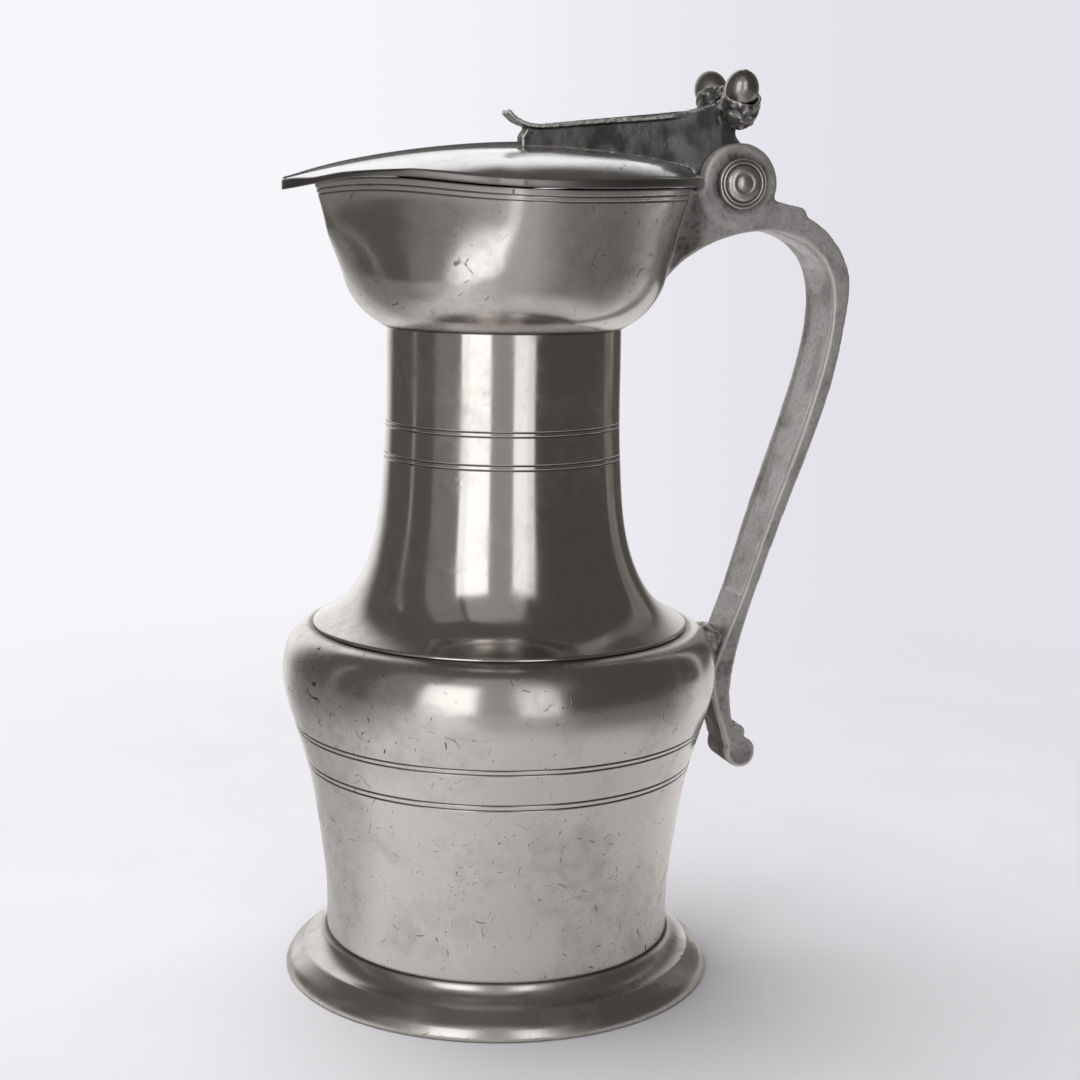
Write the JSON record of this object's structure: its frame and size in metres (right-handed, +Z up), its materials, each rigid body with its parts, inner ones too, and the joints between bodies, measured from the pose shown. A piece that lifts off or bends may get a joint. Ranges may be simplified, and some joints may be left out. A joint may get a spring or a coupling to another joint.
{
  "type": "baluster pitcher",
  "caption": "Pewter baluster pitcher with a flared foot, swelling shoulder, flared neck, pointed pouring bowl, strap handle and a heart-shaped hinged lid with a lever and twin-acorn thumbpiece.",
  "frame": {"origin": "centre of the foot ring, on the surface that the pitcher stands on", "axes": "+Z up along the body's axis, +X towards the handle and the hinge, -X towards the spout, the hinge pin along Y"},
  "size_m": [0.153, 0.1162, 0.241],
  "materials": {
    "pewter_polished": "turned and burnished pewter, worn to a soft mirror with fine scratches and dark pits",
    "pewter_cast": "as-cast pewter, dull grey and finely pitted, bright on its worn edges"
  },
  "bodies": {
    "pitcher_body": {"foot_ring": "pewter_polished", "base_disc": "pewter_polished", "drum": "pewter_polished", "neck": "pewter_polished", "bowl": "pewter_polished", "handle": "pewter_cast", "handle_solder": "pewter_cast", "hinge_pin": "pewter_polished", "pin_head_near": "pewter_polished", "pin_head_far": "pewter_polished"},
    "lid_body": {"lid": "pewter_polished", "lid_lever": "pewter_cast", "thumbpiece": "pewter_cast"}
  },
  "joints": [
    {"name": "lid_hinge", "type": "hinge", "parent": "pitcher_body", "child": "lid_body", "pos_m": [0.0624, 0, 0.2116], "axis": [0, 1, 0], "range_deg": [0, 90]}
  ]
}
